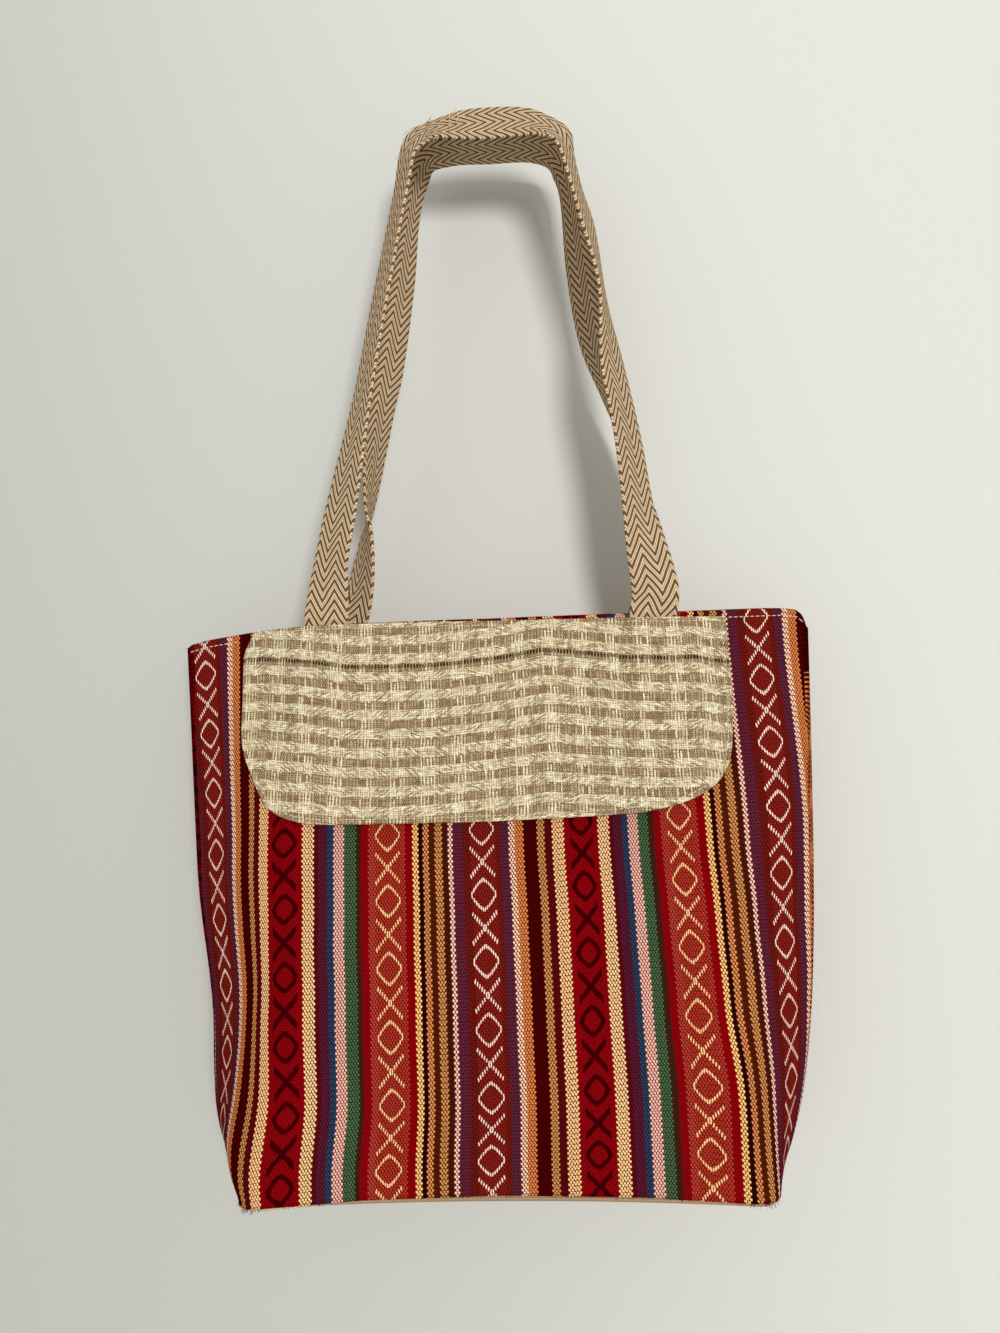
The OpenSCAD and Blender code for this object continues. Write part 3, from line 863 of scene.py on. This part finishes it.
def check_finish():
    f = Finish("check_cloth", 0.96, 0.06)
    across, along = f.across_and_along()
    along = along + (f.cloud(f.place(across * 0.02, along * 0.004)) - 0.5) * 2
    across = across + (f.cloud(f.place(across * 0.004, along * 0.03)) - 0.5) * 3
    slub = f.cloud(f.place(across * 0.12, along * 0.9), detail=3.0)
    slub_up = f.cloud(f.place(across * 0.9, along * 0.14), detail=3.0)
    # Bands of cream weft and groups of cream warp, with brown between them
    in_row = ((along + 3.5) / CHECK_ROW + 0.5).off_middle()
    in_group = (across / CHECK_GROUP + 0.5).off_middle()
    pale_weft = (in_row + (slub - 0.5) * 0.16).fade(0.20, 0.27)
    pale_warp = (in_group + (slub_up - 0.5) * 0.08).fade(0.26, 0.21)
    # Thick cream weft slants over brown warp in loose wisps, and cream warp shows as dashes on brown
    rising = f.cloud(f.place(across * 0.16 + along * 0.12, along * 0.9 - across * 0.5))
    falling = f.cloud(f.place(across * 0.16 - along * 0.12, along * 0.9 + across * 0.5))
    turned = f.cloud(f.place(across * 0.012 + 4, along * 0.03)).fade(0.44, 0.56)
    wisp = (rising + (falling - rising) * turned).fade(0.40, 0.58)
    dashes = across / CHECK_DASH + (slub_up - 0.5) * 0.4
    shown = f.chance(f.place(dashes.floor(), (along / (CHECK_ROW / 2) + 0.3).floor()))
    dash = dashes.off_middle().fade(0.36, 0.16) * shown.fade(0.1, 0.5)
    loose = 1 - (1 - wisp) * (0.88 - pale_warp * 0.5)
    cover = pale_weft * loose + (1 - pale_weft) * dash * (0.30 + pale_warp * 0.62)
    # Dark holes show between the threads: painted shade in the holes
    column, pick = (across / CHECK_WARP).floor(), (along / CHECK_WEFT).floor()
    in_column = (across / CHECK_WARP).fract() - 0.5 + (slub - 0.5) * 0.7
    in_pick = (along / CHECK_WEFT).fract() - 0.5 + (slub_up - 0.5) * 0.7
    hole = abs(in_column).fade(0.24, 0.44) * abs(in_pick).fade(0.22, 0.42)
    tick = (across / CHECK_WARP + pick * 0.5).off_middle().fade(0.42, 0.2)
    brown = f.mix(slub.fade(0.25, 0.75) * 0.4 + tick * 0.6, dye(58, 36, 16), dye(184, 154, 114))
    pale = f.mix((slub + slub_up).fade(0.8, 1.15), dye(206, 180, 134), dye(255, 247, 212))
    colour = f.mix(cover, brown, pale)
    hole_shade = hole * (1 - cover * 0.3) * (f.chance(f.place(column, pick)) * 0.5 + 0.6)
    colour = f.mix(hole_shade, colour, dye(30, 15, 4))
    # A nearly black line runs across below the seam, broken where the cream warp crosses it
    black = abs(along - DARK_LINE_AT + (slub_up - 0.5) * 1.2).fade(1.5, 0.8)
    black = black * (across / 1.9).off_middle().fade(0.42, 0.26)
    colour = f.mix(black * (0.95 - pale_warp * 0.3), colour, dye(40, 22, 8))
    fine = f.cloud(f.place(across * 0.8, along * 0.8), detail=3.0)
    shade = 0.80 + fine * 0.24 + f.cloud(f.place(across * 0.02, along * 0.03)) * 0.14
    height = cover * 0.3 + wisp * pale_weft * 0.3 + (1 - hole) * 0.5 + fine * 0.2
    return f.finished(f.shaded(colour, shade), height, 0.6, 0.9)


check_cloth = check_finish()

# How far the flap's weft lies above its level place, from left to right
WEFT_RISE = [
    (-163, 9), (-148, 8.5), (-129, 5), (-110, 2.9), (-91, -0.4), (-66, -1.6), (-41, -1.4), (-15, 0.1),
    (10, 2.7), (35, 6), (60, 2.8), (85, -0.6), (110, -2.3), (129, -2.2), (140, -5), (150, -6),
]
# A soft ridge runs down the flap: its height, its place across the bag 280 up, and its half width
RIDGE_H, RIDGE_AT, RIDGE_W = 1.6, 38, 13


def flap_woven_at(s, z, face):
    """Where a point lies in the flap's weave. Its weft wanders, most near the top"""
    return s, z - along_line(WEFT_RISE, s) * (0.75 + 0.25 * ease((z - 230) / 60))


def flap_rest(s, z):
    """How far the flap's back lies off the cloth: over the handles' ends, and hanging lower down"""
    over_strap = ease((24 - abs(abs(s) - LEG_AT)) / 10) * ease((z - SEWN_LOW + 10) / 10)
    ridge = RIDGE_H * math.exp(-(((s - RIDGE_AT + (z - 280) * 0.08) / RIDGE_W) ** 2))
    ridge *= ease((z - 225) / 60)
    hang = 1.5 + 1.2 * ease((290 - z) / 60) + 0.5 * noise.noise(Vector((s / 26, z / 40, 1.7)))
    return max(hang, 3.2 * over_strap) + ridge + 0.2


def flap_columns():
    """Places across the flap, close together at its side edges"""
    edge = [0, 0.25, 0.8, 1.8, 3.2]
    left = [FLAP_LEFT + d for d in edge] + steps(FLAP_LEFT + 5, -112, 2.2)
    right = steps(102, FLAP_RIGHT - 5, 2.2) + [FLAP_RIGHT - d for d in reversed(edge)]
    return left + steps(-110, 100, 3) + right


def flap_profile(under, thick, short):
    """A layer of the flap, with its place over the flap's back and how far it stops short of the edge.
    It thins within 1.2 mm of its edges"""
    def profile(s):
        low, high = along_line(FLAP_LOW, s) + short, along_line(FLAP_TOP, s) - short
        middle = [low + 2.2 + (high - low - 2 * 2.2) * i / 36 for i in range(37)]
        heights = [low + 0.2, low + 0.9] + middle + [high - 0.9, high - 0.2]
        nearest = min(s - FLAP_LEFT, FLAP_RIGHT - s)
        full = [0.55 + 0.45 * ease(min(z - low, high - z, nearest) / 1.2) for z in heights]
        inner = [(z, flap_rest(s, z) + under + thick * (1 - k) / 2) for z, k in zip(heights, full)]
        outer = [(z, flap_rest(s, z) + under + thick * (1 + k) / 2) for z, k in zip(heights, full)]
        return outer + inner[::-1]
    return profile


FLAP_LAYERS = (
    ("flap_check_cloth", 1.0, FLAP_FACE_T, 0.0, check_cloth, "check_cloth",
     ("flap_face", "flap_margin_strip")),
    ("flap_lining_cotton", 0.1, FLAP_LINING_T, 0.5, lining_cotton, "lining_cotton",
     ("flap_lining",)),
)
for name, under, thick, short, finish, slot, nodes in FLAP_LAYERS:
    profile = flap_profile(under, thick, short)
    piece = layer(name, FRONT, profile, flap_columns(), finish, flap_woven_at)
    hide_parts(*nodes)
    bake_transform(piece)

# ---- Stitching ----
# Cream cotton thread: a row below the rim, one inside the flap's edge, the row that sews the flap
# on, and crossed boxes on the handles' sewn ends.
STITCH, STITCH_GAP, THREAD_R = 2.5, 1.0, 0.33
# How far apart the places along a row are, how far up a stitch starts, and how far it rises further
SPOT, STITCH_LOW, STITCH_RISE = 0.5, 0.10, 0.22
# The row below the rim, how far the flap's two rows lie inside its edges, and half a box's width
RIM_ROW, FLAP_EDGE_IN, FLAP_TOP_IN, BOX_HALF = 336.6, 3.2, 3.0, 11.5


def thread_finish():
    f = Finish("sewing_thread", 0.7, 0.3)
    ply = f.cloud(f.node("ShaderNodeTexCoord", out="Object"), 900.0)
    colour = f.mix(ply, dye(206, 186, 148), dye(240, 226, 196))
    return f.finished(colour, ply, 0.15, 0.5)


sewing_thread = thread_finish()


def thread_ring(bm, middle, radius, wide, up, sides):
    """Points round a thread"""
    return [
        bm.verts.new((middle + radius * (math.cos(a) * wide + math.sin(a) * up)) / 1000)
        for a in (math.tau * j / sides for j in range(sides))
    ]


def thread_skin(bm, rings):
    """The thread's surface through its rings, closed at both ends"""
    sides = len(rings[0])
    for a, b in zip(rings, rings[1:]):
        for j in range(sides):
            after = (j + 1) % sides
            bm.faces.new((a[j], a[after], b[after], b[j])).smooth = True
    bm.faces.new(rings[0][::-1])
    bm.faces.new(rings[-1])


def spots_along(line):
    """Places every half millimetre or so along a line"""
    spots = []
    for (a0, b0), (a1, b1) in zip(line, line[1:]):
        n = max(1, round(math.hypot(a1 - a0, b1 - b0) / SPOT))
        spots += [(a0 + (a1 - a0) * i / n, b0 + (b1 - b0) * i / n) for i in range(n)]
    return spots + [line[-1]]


def stitches(name, lines, on):
    """Rows of stitches along lines of places. on(a, b, up) is a place above what they go through"""
    bm = bmesh.new()
    per_stitch, per_gap = round(STITCH / SPOT), round(STITCH_GAP / SPOT)
    for line in lines:
        spots = spots_along(line)
        for start in range(0, len(spots) - per_stitch, per_stitch + per_gap):
            middles, rings = [], []
            for k in range(5):
                at = start + round(per_stitch * k / 4)
                spot, near = spots[at], spots[min(at + 1, len(spots) - 1)]
                bulge = math.sin(math.pi * (k + 0.35) / 4.7)
                middle = on(*spot, STITCH_LOW + STITCH_RISE * bulge)
                way = on(*near, STITCH_LOW + STITCH_RISE * bulge) - middle
                out = (on(*spot, 2) - middle).normalized()
                if way.length < 1e-6:
                    way = middle - middles[-1] if middles else Vector((1, 0, 0))
                wide = way.normalized().cross(out).normalized()
                middles.append(middle)
                rings.append(thread_ring(bm, middle, THREAD_R * (0.45 + 0.55 * bulge), wide, out, 6))
            thread_skin(bm, rings)
    return piece_from(name, bm, sewing_thread)


def on_cloth(face, off=0.0):
    return lambda s, z, up: cloth_point(s, z, off + up, face)


def on_flap(s, z, up):
    return cloth_point(s, z, flap_rest(s, z) + 1.0 + FLAP_FACE_T + up, FRONT)


def flap_edge_row():
    """Down the flap's left side, round its lower edge and up its right side"""
    left, right = FLAP_LEFT + FLAP_EDGE_IN, FLAP_RIGHT - FLAP_EDGE_IN
    row = [(left, z) for z in steps(326, 282, 6)]
    for (s0, z0), (s1, z1) in zip(FLAP_LOW, FLAP_LOW[1:]):
        way = Vector((s1 - s0, z1 - z0)).normalized()
        row.append(((s0 + s1) / 2 - way.y * FLAP_EDGE_IN, (z0 + z1) / 2 + way.x * FLAP_EDGE_IN))
    return row + [(right, z) for z in steps(292, 330, 6)] + [(right, 334)]


rim_rows = [[(-202, RIM_ROW), (-166, RIM_ROW)], [(153, RIM_ROW), (202, RIM_ROW)]]
piece = stitches("front_rim_stitching", rim_rows, on_cloth(FRONT))
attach(piece, "bag")
piece = stitches("back_rim_stitching", [[(-202, RIM_ROW), (202, RIM_ROW)]], on_cloth(BACK))
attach(piece, "bag")
piece = stitches("flap_edge_stitching", [flap_edge_row()], on_flap)
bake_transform(piece)
top_row = [
    (s, along_line(FLAP_TOP, s) - FLAP_TOP_IN) for s in steps(FLAP_LEFT + 6, FLAP_RIGHT - 4, 8)
]
piece = stitches("flap_top_stitching", [top_row], on_flap)
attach(piece, "bag")

for face, side in ((FRONT, "front"), (BACK, "back")):
    boxes = []
    for middle in (-LEG_AT, LEG_AT):
        left, right = middle - BOX_HALF, middle + BOX_HALF
        low, high = SEWN_LOW + 3.5, BODY_H - 8
        boxes.append([(left, low), (right, low), (right, high), (left, high), (left, low)])
        boxes += [[(left, low), (right, high)], [(left, high), (right, low)]]
    over_strap = on_cloth(face, STRAP_SPACE + STRAP_T - 0.1)
    piece = stitches(f"{side}_handle_stitching", boxes, over_strap)
    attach(piece, "bag")

# ---- Loose fibres ----
# The striped cloth's lower edge is raw, so short ends of its threads stick out of it, most at the
# corners. A few stray threads come loose from the webbing and from the flap's top edge.
random.seed(7)


def fibres(name, strands, finish):
    """Thin threads through their points, with closed ends"""
    bm = bmesh.new()
    for points, radius in strands:
        rings = []
        for i, p in enumerate(points):
            way = way_at(points, i)
            wide = way.orthogonal().normalized()
            size = radius * (0.35 if i in (0, len(points) - 1) else 1)
            rings.append(thread_ring(bm, p, size, wide, way.cross(wide), 4))
        thread_skin(bm, rings)
    return piece_from(name, bm, finish)


def fibre_finish(name, colours):
    """Each stretch of fibre takes one of the colours"""
    f = Finish(name, 0.9, 0.1)
    pick = f.cloud(f.node("ShaderNodeTexCoord", out="Object"), 260.0, 1.0)
    stops = [(i / len(colours), dye(*c)) for i, c in enumerate(colours)]
    colour = f.node("ShaderNodeValToRGB", {"stops": stops}, [pick.fade(0.3, 0.7)])
    return f.finished(colour, pick, 0.1, 0.3)


cream_fibre = fibre_finish("cream_fibres", [(230, 214, 176), (244, 234, 206), (214, 192, 150)])
# Places along each thread that comes loose from the webbing
webbing_ends = [
    [(-25, -5, 684), (-31.1, 4, 685.3), (-37.5, 4, 684), (-42.5, 4, 681.5), (-45.5, 4, 678),
     (-46.5, 4, 672)],
    [(-43, 4, 668), (-45.8, 6, 669.4), (-48.6, 6, 668.3), (-50.8, 6, 665), (-52.2, 6, 663.5)],
    [(-12, -10, 673), (-11.6, -14, 676), (-11.2, -14, 680), (-9.3, -14, 682.4), (-6.6, -14, 681),
     (-6.1, -13, 677), (-8, -11, 674)],
]
strands = [([Vector(p) for p in spline(end, 4)], 0.32) for end in webbing_ends]
piece = fibres("webbing_loose_ends", strands, cream_fibre)
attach(piece, "front_handle")
# The same for the flap, as places across and up, and how far they lie above it
flap_ends = [
    [(-111, 337, 0.4), (-107, 332.5, 0.9), (-101, 328, 1.0), (-97, 323.5, 0.4)],
    [(-88, 334, 0.4), (-84, 329, 0.9), (-77, 327.5, 1.0), (-72, 329, 0.4)],
]
strands = [([on_flap(*p) for p in spline(end, 4)], 0.3) for end in flap_ends]
piece = fibres("flap_loose_ends", strands, cream_fibre)
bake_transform(piece)

# Colours of the raw edge's fibres, how many places are tried on each side, and where the corners lie
EDGE_DYES = [(120, 10, 14), (70, 16, 40), (214, 180, 120), (90, 30, 20), (150, 12, 16)]
EDGE_TRIES, CORNER_AT, CORNER_REACH = 520, 150, 16
edge_fibre = fibre_finish("edge_fibres", EDGE_DYES)
for face, side in ((FRONT, "front"), (BACK, "back")):
    strands = []
    for _ in range(EDGE_TRIES):
        s = random.uniform(-HALF, HALF)
        corner = math.exp(-(((abs(s) - CORNER_AT) / CORNER_REACH) ** 2))
        if random.random() > 0.45 + 0.55 * corner:
            continue
        long = random.uniform(0.8, 2.2) + 2.6 * corner * random.random()
        lean = random.uniform(-0.9, 0.9)
        out = random.uniform(0.0, 1.0) + 1.2 * corner
        start = random.uniform(-1.8, -0.2)
        points = [
            cloth_point(s + lean * long * t, EDGE_UP + 0.6 - long * t, start + out * t * t, face)
            for t in (0, 0.35, 0.7, 1)
        ]
        strands.append((points, random.uniform(0.09, 0.16)))
    piece = fibres(f"{side}_edge_fibres", strands, edge_fibre)
    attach(piece, "bag")

# ---- Wall, floor and light ----
# A pale wall stands just behind the hanging bag and a plain floor lies well below it. The wall's
# paint is graded lighter to the right and up, as painted light from the window. Light is soft and
# comes from the front, a little from the right. Only a camera that looks at the wall's face sees it,
# and it stops no light.
WALL_Y, WALL_TOP, FLOOR_Z, ROOM_HALF = 0.062, 2.5, -0.36, 3
KEY_STRENGTH, KEY_SPREAD, KEY_FROM = 1.9, 0.26, Vector((0.32, -0.93, 0.08))
ROOM_STRENGTH, ROOM_COLOUR = 0.55, (1.0, 0.99, 0.97, 1)


def stage_sheet(name, corners, finish):
    mesh = bpy.data.meshes.new(name)
    mesh.from_pydata(corners, [], [(0, 1, 2, 3)])
    mesh.materials.append(finish)
    piece = bpy.data.objects.new(name, mesh)
    bpy.context.scene.collection.objects.link(piece)


def wall_finish():
    f = Finish("wall_paint_with_painted_light", 0.85, 0.15)
    spot = f.node("ShaderNodeTexCoord", out="Object")
    x = f.node("ShaderNodeSeparateXYZ", {}, [spot])
    z = Term(f, x.socket.node.outputs["Z"])
    # Painted light: the wall's colour is lighter to the right and up and darker to the left and down,
    # as the window's light falls on it
    painted_light_right_and_up = (x + z * 0.25).fade(-0.45, 0.45)
    colour = f.mix(painted_light_right_and_up, dye(186, 187, 180), dye(222, 222, 215))
    f.finished(colour, f.cloud(spot, 90.0, 3.0), 0.5, 0.35)
    behind = f.node("ShaderNodeNewGeometry", out="Backfacing")
    seen = f.node("ShaderNodeLightPath", out="Is Camera Ray") * (1 - behind)
    clear = f.node("ShaderNodeBsdfTransparent")
    shown = f.node("ShaderNodeMixShader", {}, [seen, clear, Term(f, f.shader.outputs[0])])
    f.put(f.tree.nodes["Material Output"].inputs["Surface"], shown)
    return f.material


def floor_finish():
    f = Finish("floor_paint", 0.9, 0.1)
    cloud = f.cloud(f.node("ShaderNodeTexCoord", out="Object"), 3.0)
    return f.finished(f.mix(cloud, dye(238, 238, 234), dye(246, 246, 242)), cloud, 0.2, 0.2)


stage_sheet("wall", [
    (-ROOM_HALF, WALL_Y, FLOOR_Z), (ROOM_HALF, WALL_Y, FLOOR_Z),
    (ROOM_HALF, WALL_Y, WALL_TOP), (-ROOM_HALF, WALL_Y, WALL_TOP),
], wall_finish())
stage_sheet("floor", [
    (-ROOM_HALF, -ROOM_HALF, FLOOR_Z), (ROOM_HALF, -ROOM_HALF, FLOOR_Z),
    (ROOM_HALF, ROOM_HALF, FLOOR_Z), (-ROOM_HALF, ROOM_HALF, FLOOR_Z),
], floor_finish())

key = bpy.data.lights.new("window", "SUN")
key.energy, key.angle = KEY_STRENGTH, KEY_SPREAD
window = bpy.data.objects.new("window", key)
window.rotation_mode = "QUATERNION"
window.rotation_quaternion = KEY_FROM.to_track_quat("Z", "Y")
bpy.context.scene.collection.objects.link(window)
world = bpy.data.worlds.new("room")
world.use_nodes = True
world.node_tree.nodes["Background"].inputs["Color"].default_value = ROOM_COLOUR
world.node_tree.nodes["Background"].inputs["Strength"].default_value = ROOM_STRENGTH
bpy.context.scene.world = world
bpy.context.scene.view_settings.view_transform = "Standard"
